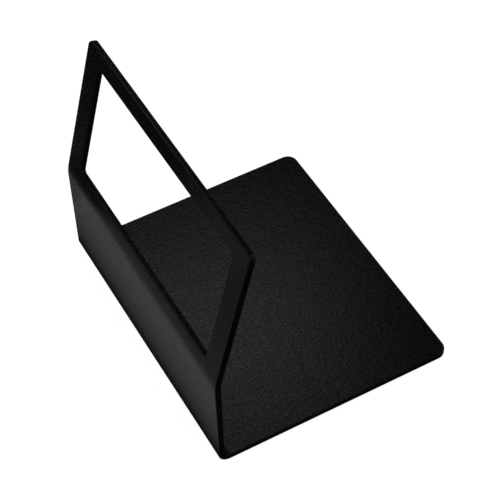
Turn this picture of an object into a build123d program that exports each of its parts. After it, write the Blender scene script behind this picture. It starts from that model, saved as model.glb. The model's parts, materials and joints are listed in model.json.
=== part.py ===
from build123d import *

import os
from math import cos, radians, sin

# Book display stand: one blank of powder-coated sheet steel, folded twice, on stick-on pads.
#
# The base plate lies flat. At its front the sheet folds square into a short upright, and a
# second, shallow bend tips the windowed frame above it back over the base. A book stands in
# front and leans on the frame.
#
# Millimetres. +X runs along the folds, +Y from the upright to the free edge of the base, +Z up.
# The origin is the centre of the footprint, on the surface that the pads stand on.

# Sheet
WIDTH = 100.0  # along the folds
SHEET = 2.06  # nominal 2 mm steel, out to the surface of its powder coat
EDGE_SOFTNESS = 0.3  # radius that deburring and the coat leave on the cut edges

# Base plate
DEPTH = 82.75  # front face of the upright to the free edge
BASE_CORNER = 3.6  # the two free corners, in plan

# Bends, both measured on the outside of the sheet
FOLD_RADIUS = 3.9  # the square fold between base and upright
BEND_RADIUS = 20.0  # the shallow bend between upright and frame
BEND_HEIGHT = 38.5  # underside of the base to where the two outer faces would meet
LEAN = 14.6  # degrees from upright to frame

# Windowed frame, measured up its slope from where the outer faces would meet
FRAME_LENGTH = 52.1
FRAME_CORNER = 2.4  # the two top corners
SIDE_BAR = 7.85
WINDOW_BOTTOM = 5.25
WINDOW_TOP = 46.45
WINDOW_CORNER = 1.2

# Pads under the base
PAD_DIAMETER = 10.0
PAD_THICKNESS = 1.0
PAD_INSET = 11.0  # pad centre to the nearest two edges of the base
PAD_RIM = 0.25  # rounding of the edge that meets the shelf

# Places worked out from the sizes above
FRONT = -DEPTH / 2
REAR = DEPTH / 2
UNDERSIDE = PAD_THICKNESS
UP_FRAME = Vector(0, sin(radians(LEAN)), cos(radians(LEAN)))
OUT_OF_FRAME = Vector(0, -cos(radians(LEAN)), sin(radians(LEAN)))
BEND_LINE = Vector(0, FRONT, UNDERSIDE + BEND_HEIGHT)
FRAME_TOP = BEND_LINE + UP_FRAME * FRAME_LENGTH
WINDOW_CENTRE = BEND_LINE + UP_FRAME * (WINDOW_BOTTOM + WINDOW_TOP) / 2
TOLERANCE = 0.01

os.makedirs("parts", exist_ok=True)


# The folded sheet
def is_rim(edge):
    """True for an edge where a cut side meets a face of the sheet.

    The other edges are smooth seams: they run the whole width beside a bend, or cross the
    thickness beside a rounded corner.
    """
    beside_bend = abs(edge.length - WIDTH) < TOLERANCE
    across_sheet = abs(edge.length - SHEET) < TOLERANCE
    return not beside_bend and not across_sheet


with BuildPart() as folded_sheet:
    with BuildSketch(Plane.YZ):
        with BuildLine():
            FilletPolyline(
                (REAR, UNDERSIDE),
                (FRONT, UNDERSIDE),
                (BEND_LINE.Y, BEND_LINE.Z),
                (FRAME_TOP.Y, FRAME_TOP.Z),
                radius=(FOLD_RADIUS, BEND_RADIUS),
            )
            offset(amount=SHEET, side=Side.RIGHT)
        make_face()
    extrude(amount=WIDTH / 2, both=True)

    free_corners = folded_sheet.edges().filter_by(Axis.Z).group_by(Axis.Y)[-1]
    fillet(free_corners, radius=BASE_CORNER)
    across_frame = folded_sheet.edges().filter_by(Axis((0, 0, 0), OUT_OF_FRAME))
    fillet(across_frame.group_by(Axis.Z)[-1], radius=FRAME_CORNER)

    with BuildSketch(Plane(origin=WINDOW_CENTRE, x_dir=(1, 0, 0), z_dir=OUT_OF_FRAME)):
        RectangleRounded(WIDTH - 2 * SIDE_BAR, WINDOW_TOP - WINDOW_BOTTOM, WINDOW_CORNER)
    extrude(amount=-2 * SHEET, mode=Mode.SUBTRACT)

    fillet(folded_sheet.edges().filter_by(is_rim), radius=EDGE_SOFTNESS)

folded_sheet.part.label = "folded_sheet"
export_step(folded_sheet.part, "parts/folded_sheet.step")


# Pads, stuck under the corners of the base
for y_sign, row in ((-1, "front"), (1, "rear")):
    for x_sign, side in ((-1, "left"), (1, "right")):
        pad_x = x_sign * (WIDTH / 2 - PAD_INSET)
        pad_y = y_sign * (DEPTH / 2 - PAD_INSET)
        with BuildPart() as pad:
            with BuildSketch():
                with Locations((pad_x, pad_y)):
                    Circle(PAD_DIAMETER / 2)
            extrude(amount=PAD_THICKNESS)
            fillet(pad.edges().group_by(Axis.Z)[0], radius=PAD_RIM)

        pad.part.label = f"pad_{row}_{side}"
        export_step(pad.part, f"parts/pad_{row}_{side}.step")
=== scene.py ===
import json
from math import pi, radians

import bmesh
import bpy
from mathutils import Matrix, Vector


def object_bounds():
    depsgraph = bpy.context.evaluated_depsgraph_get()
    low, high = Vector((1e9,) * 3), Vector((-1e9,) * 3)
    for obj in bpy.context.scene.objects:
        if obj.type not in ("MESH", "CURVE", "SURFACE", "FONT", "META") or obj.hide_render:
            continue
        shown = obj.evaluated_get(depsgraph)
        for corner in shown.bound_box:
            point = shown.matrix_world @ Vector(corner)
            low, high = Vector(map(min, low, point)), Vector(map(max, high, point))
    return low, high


# Book display stand: the camera, the light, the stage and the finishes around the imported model.
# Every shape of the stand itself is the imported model's. Lengths are metres.
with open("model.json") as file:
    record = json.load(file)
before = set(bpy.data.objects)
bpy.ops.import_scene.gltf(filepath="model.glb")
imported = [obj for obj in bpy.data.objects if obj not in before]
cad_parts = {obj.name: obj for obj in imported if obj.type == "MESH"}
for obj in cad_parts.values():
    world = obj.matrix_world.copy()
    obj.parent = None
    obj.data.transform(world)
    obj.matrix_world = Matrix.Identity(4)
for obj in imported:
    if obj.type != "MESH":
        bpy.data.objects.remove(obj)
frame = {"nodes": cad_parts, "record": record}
cad_low, cad_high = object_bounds()


def direction(azimuth, elevation):
    """The unit vector from the stand towards a viewpoint or a lamp, from two angles in degrees.

    From azimuth 0 one looks along +Y, from 90 along -X, and from a positive elevation down.
    """
    return (
        Matrix.Rotation(radians(azimuth), 3, "Z")
        @ Matrix.Rotation(-radians(elevation), 3, "X")
        @ Vector((0, -1, 0))
    )


# Camera: a long lens, looking down over one end of the folds
VIEW_AZIMUTH = 62.56
VIEW_ELEVATION = 49.65
VIEW_ROLL = -2.05  # degrees
VIEW_DISTANCE = 0.53
VIEW_TARGET = Vector((-0.00153, -0.00163, 0.02525))
LENS = 120.2  # millimetres
SENSOR_WIDTH = 36.0  # millimetres
NEAREST_SEEN = 0.01
FURTHEST_SEEN = 10.0


def make_camera():
    """The scene's camera, placed by the direction it looks in, its distance and its roll."""
    to_camera = direction(VIEW_AZIMUTH, VIEW_ELEVATION)
    place = Matrix.Translation(VIEW_TARGET + to_camera * VIEW_DISTANCE)
    facing = to_camera.to_track_quat("Z", "Y").to_matrix()
    rolled = facing @ Matrix.Rotation(radians(VIEW_ROLL), 3, "Z")
    data = bpy.data.cameras.new("camera")
    data.lens = LENS
    data.sensor_width = SENSOR_WIDTH
    data.clip_start = NEAREST_SEEN
    data.clip_end = FURTHEST_SEEN
    camera = bpy.data.objects.new("camera", data)
    camera.matrix_world = place @ rolled.to_4x4()
    bpy.context.scene.collection.objects.link(camera)
    bpy.context.scene.camera = camera


make_camera()


# Light. The base plate mirrors the key softbox. The upright mirrors four cards on the floor in
# front of it and beside it, and its inner faces mirror a fifth behind. Dim panels all round and
# below keep every other side readable.
FLOOR = cad_low.z
CARD_HEIGHT = FLOOR + 0.0005
ABOVE_CARDS = 1.0
PANEL_DISTANCE = 0.65
PANEL_AIM = (0.0, 0.0, 0.03)
LIGHT_TINT = (1.0, 1.02, 0.93)  # white, with a little more green and less blue
WORLD_LIGHT = 0.005


def make_panel(name, place, aim, size, radiance):
    """A rectangular area light at place, turned towards aim, and not seen by the camera."""
    data = bpy.data.lights.new(name, "AREA")
    data.color = LIGHT_TINT
    data.shape = "RECTANGLE"
    data.size, data.size_y = size
    data.energy = pi * size[0] * size[1] * radiance
    light = bpy.data.objects.new(name, data)
    light.location = place
    light.rotation_euler = (Vector(place) - Vector(aim)).to_track_quat("Z", "Y").to_euler()
    light.visible_camera = False
    bpy.context.scene.collection.objects.link(light)


def make_card(name, centre, size, radiance):
    """A bright card that lies on the floor and faces up."""
    x, y = centre
    make_panel(name, (x, y, CARD_HEIGHT), (x, y, ABOVE_CARDS), size, radiance)


def make_fill(name, azimuth, elevation, size, radiance):
    """A panel that faces the object from a given direction."""
    make_panel(name, direction(azimuth, elevation) * PANEL_DISTANCE, PANEL_AIM, size, radiance)


make_panel("key", place=(-0.2, 0.071, 0.305), aim=(0.0, 0.0, 0.0), size=(0.13, 0.08), radiance=1.07)

make_card("card_near", centre=(-0.02, -0.0555), size=(0.16, 0.011), radiance=0.245)
make_card("card_mid", centre=(0.0, -0.074), size=(0.14, 0.059), radiance=0.135)
make_card("card_left", centre=(-0.15, -0.06), size=(0.10, 0.022), radiance=0.4)
make_card("card_far", centre=(-0.065, -0.175), size=(0.05, 0.05), radiance=0.45)
make_card("card_back", centre=(0.06, 0.2), size=(0.4, 0.22), radiance=0.25)

make_fill("front_fill", azimuth=10, elevation=32, size=(0.5, 0.4), radiance=0.4)
make_fill("near_fill", azimuth=48, elevation=15, size=(0.4, 0.2), radiance=0.3)
make_fill("right_fill", azimuth=95, elevation=30, size=(0.4, 0.3), radiance=0.3)
make_fill("back_fill", azimuth=165, elevation=32, size=(0.5, 0.4), radiance=0.4)
make_fill("left_fill", azimuth=285, elevation=12, size=(0.4, 0.2), radiance=0.4)
make_fill("high_fill", azimuth=310, elevation=45, size=(0.4, 0.3), radiance=0.3)
make_fill("overhead", azimuth=90, elevation=88, size=(0.3, 0.3), radiance=0.35)
make_fill("under_fill", azimuth=210, elevation=-70, size=(0.4, 0.4), radiance=0.6)

world = bpy.data.worlds.new("world")
world.use_nodes = True
world.node_tree.nodes["Background"].inputs["Color"].default_value = (1, 1, 1, 1)
world.node_tree.nodes["Background"].inputs["Strength"].default_value = WORLD_LIGHT
bpy.context.scene.world = world
bpy.context.scene.view_settings.view_transform = "Standard"


# Stage: white paper to stand on, inside a white cyclorama. Only the camera sees them. The paper
# is seen from above alone, so that the underside can be looked at through it.
PAPER_REACH = 2.5
CYCLORAMA_RADIUS = 4.0


def make_paper(name, albedo, glow):
    """White paper, seen from the front of its faces alone, that glows enough to stay pale."""
    paper = bpy.data.materials.new(name)
    paper.use_nodes = True
    tree = paper.node_tree
    shader = tree.nodes["Principled BSDF"]
    shader.inputs["Base Color"].default_value = (albedo, albedo, albedo, 1)
    shader.inputs["Roughness"].default_value = 0.9
    shader.inputs["Specular IOR Level"].default_value = 0.0
    shader.inputs["Emission Color"].default_value = (1, 1, 1, 1)
    shader.inputs["Emission Strength"].default_value = glow
    behind = tree.nodes.new("ShaderNodeBsdfTransparent")
    one_sided = tree.nodes.new("ShaderNodeMixShader")
    side = tree.nodes.new("ShaderNodeNewGeometry")
    tree.links.new(side.outputs["Backfacing"], one_sided.inputs["Fac"])
    tree.links.new(shader.outputs["BSDF"], one_sided.inputs[1])
    tree.links.new(behind.outputs["BSDF"], one_sided.inputs[2])
    tree.links.new(one_sided.outputs["Shader"], tree.nodes["Material Output"].inputs["Surface"])
    return paper


def add_to_stage(name, shape, material):
    """Makes a staged object from a bmesh."""
    mesh = bpy.data.meshes.new(name)
    shape.to_mesh(mesh)
    shape.free()
    mesh.materials.append(material)
    item = bpy.data.objects.new(name, mesh)
    bpy.context.scene.collection.objects.link(item)
    for ray in ("diffuse", "glossy", "transmission", "shadow"):
        setattr(item, "visible_" + ray, False)


ground = bmesh.new()
at_floor = Matrix.Translation((0, 0, FLOOR))
bmesh.ops.create_grid(ground, x_segments=1, y_segments=1, size=PAPER_REACH, matrix=at_floor)
add_to_stage("floor", ground, make_paper("floor_paper", albedo=0.8, glow=0.93))

surround = bmesh.new()
bmesh.ops.create_icosphere(surround, subdivisions=4, radius=CYCLORAMA_RADIUS)
bmesh.ops.reverse_faces(surround, faces=surround.faces)
add_to_stage("cyclorama", surround, make_paper("cyclorama_paper", albedo=0.0, glow=0.97))


# Materials: the size of each pattern's features, and the depth of its relief
GRAIN_SIZE = 0.0009
GRAIN_DEPTH = 0.00007
PEEL_SIZE = 0.0045
PEEL_DEPTH = 0.00004
GLINT_SIZE = 0.0008
# How far the painted edge highlight and the glossier edge crests reach
EDGE_REACH = 0.0006  # to each side of an edge
SPECKLE_SIZE = 0.0005
SPECKLE_DEPTH = 0.00003

# The painted edge highlight and the glossier edge crests follow the cosine between the surface's normal
# and one rounded over the nearest edge
EDGE_MASK_STARTS = 0.995
EDGE_MASK_FULL = 0.9


class Nodes:
    """A material's node tree, with short ways to add the nodes that the finishes use."""

    def __init__(self, name):
        self.material = bpy.data.materials.new(name)
        self.material.use_nodes = True
        self.tree = self.material.node_tree
        self.shader = self.tree.nodes["Principled BSDF"]
        self.place = self.tree.nodes.new("ShaderNodeTexCoord").outputs["Object"]

    def link(self, source, target):
        self.tree.links.new(source, target)

    def noise(self, feature, detail=2.0, roughness=0.5):
        """Noise with features of a given size."""
        node = self.tree.nodes.new("ShaderNodeTexNoise")
        node.inputs["Scale"].default_value = 1.0 / feature
        node.inputs["Detail"].default_value = detail
        node.inputs["Roughness"].default_value = roughness
        self.link(self.place, node.inputs["Vector"])
        return node.outputs["Fac"]

    def remap(self, value, low, high, to_low, to_high):
        """Maps low..high onto to_low..to_high, and holds the ends."""
        node = self.tree.nodes.new("ShaderNodeMapRange")
        self.link(value, node.inputs["Value"])
        node.inputs["From Min"].default_value = low
        node.inputs["From Max"].default_value = high
        node.inputs["To Min"].default_value = to_low
        node.inputs["To Max"].default_value = to_high
        return node.outputs["Result"]

    def combine(self, operation, first, second):
        """One step of arithmetic on two values, where the second may be a number."""
        node = self.tree.nodes.new("ShaderNodeMath")
        node.operation = operation
        self.link(first, node.inputs[0])
        if isinstance(second, float):
            node.inputs[1].default_value = second
        else:
            self.link(second, node.inputs[1])
        return node.outputs["Value"]

    def mix_colour(self, factor, first, second):
        """First colour where factor is 0, second where it is 1."""
        node = self.tree.nodes.new("ShaderNodeMix")
        node.data_type = "RGBA"
        self.link(factor, node.inputs["Factor"])
        self.link(first, node.inputs["A"])
        self.link(second, node.inputs["B"])
        return node.outputs["Result"]

    def edges(self, reach):
        """Rises from 0 on the flats to 1 on the crest of an edge, within reach of it."""
        rounded = self.tree.nodes.new("ShaderNodeBevel")
        rounded.samples = 6
        rounded.inputs["Radius"].default_value = reach
        flat = self.tree.nodes.new("ShaderNodeNewGeometry")
        agree = self.tree.nodes.new("ShaderNodeVectorMath")
        agree.operation = "DOT_PRODUCT"
        self.link(rounded.outputs["Normal"], agree.inputs[0])
        self.link(flat.outputs["Normal"], agree.inputs[1])
        return self.remap(agree.outputs["Value"], low=EDGE_MASK_STARTS, high=EDGE_MASK_FULL, to_low=0.0, to_high=1.0)

    def ramp(self, value, stops):
        """Colours along value, as (position, (r, g, b)) stops."""
        node = self.tree.nodes.new("ShaderNodeValToRGB")
        for element, (position, colour) in zip(node.color_ramp.elements, stops):
            element.position = position
            element.color = (*colour, 1)
        self.link(value, node.inputs["Fac"])
        return node.outputs["Color"]

    def bump(self, layers):
        """Relief from layers, each a value from 0 to 1 and its depth."""
        heights = [self.combine("MULTIPLY", value, depth) for value, depth in layers]
        total = heights[0]
        for height in heights[1:]:
            total = self.combine("ADD", total, height)
        node = self.tree.nodes.new("ShaderNodeBump")
        node.inputs["Strength"].default_value = 1.0
        node.inputs["Distance"].default_value = 1.0
        self.link(total, node.inputs["Height"])
        self.link(node.outputs["Normal"], self.shader.inputs["Normal"])


def powder_coat():
    """Black powder coat: a sandy grain over a shallow orange peel, with glossier specks in it.

    Along the crests of the edges it is glossier, and a painted highlight makes it a little lighter there.
    """
    nodes = Nodes("black_powder_coat")
    grain = nodes.noise(GRAIN_SIZE, detail=3.0, roughness=0.55)
    glint = nodes.noise(GLINT_SIZE, detail=2.0, roughness=0.6)
    peel = nodes.noise(PEEL_SIZE, detail=1.0)
    nodes.bump([(grain, GRAIN_DEPTH), (peel, PEEL_DEPTH)])

    edge = nodes.edges(EDGE_REACH)
    coat_colour = nodes.ramp(grain, [(0.3, (0.006, 0.006, 0.006)), (0.7, (0.014, 0.014, 0.0135))])
    # Painted highlight: a lighter colour on the edge crests stands in for the light they catch
    painted_edge_highlight = nodes.ramp(grain, [(0.3, (0.009, 0.009, 0.009)), (0.7, (0.024, 0.024, 0.023))])
    nodes.link(nodes.mix_colour(edge, coat_colour, painted_edge_highlight), nodes.shader.inputs["Base Color"])

    coat_roughness = nodes.remap(glint, low=0.35, high=0.65, to_low=0.35, to_high=0.23)
    polish = nodes.remap(edge, low=0.0, high=1.0, to_low=1.0, to_high=0.8)
    nodes.link(nodes.combine("MULTIPLY", coat_roughness, polish), nodes.shader.inputs["Roughness"])
    return nodes.material


def pad_rubber():
    """Dark grey rubber, matt, with a faint moulded speckle."""
    nodes = Nodes("dark_pad_rubber")
    speckle = nodes.noise(SPECKLE_SIZE, detail=4.0, roughness=0.7)
    colour = nodes.ramp(speckle, [(0.35, (0.022, 0.022, 0.024)), (0.65, (0.04, 0.04, 0.042))])
    nodes.link(colour, nodes.shader.inputs["Base Color"])
    roughness = nodes.remap(speckle, low=0.3, high=0.7, to_low=0.85, to_high=0.7)
    nodes.link(roughness, nodes.shader.inputs["Roughness"])
    nodes.bump([(speckle, SPECKLE_DEPTH)])
    return nodes.material


finishes = {"powder_coat": powder_coat(), "pad_rubber": pad_rubber()}
for subpart in frame["record"]["subparts"]:
    frame["nodes"][subpart["node"]].material_slots[0].material = finishes[subpart["material_slot"]]
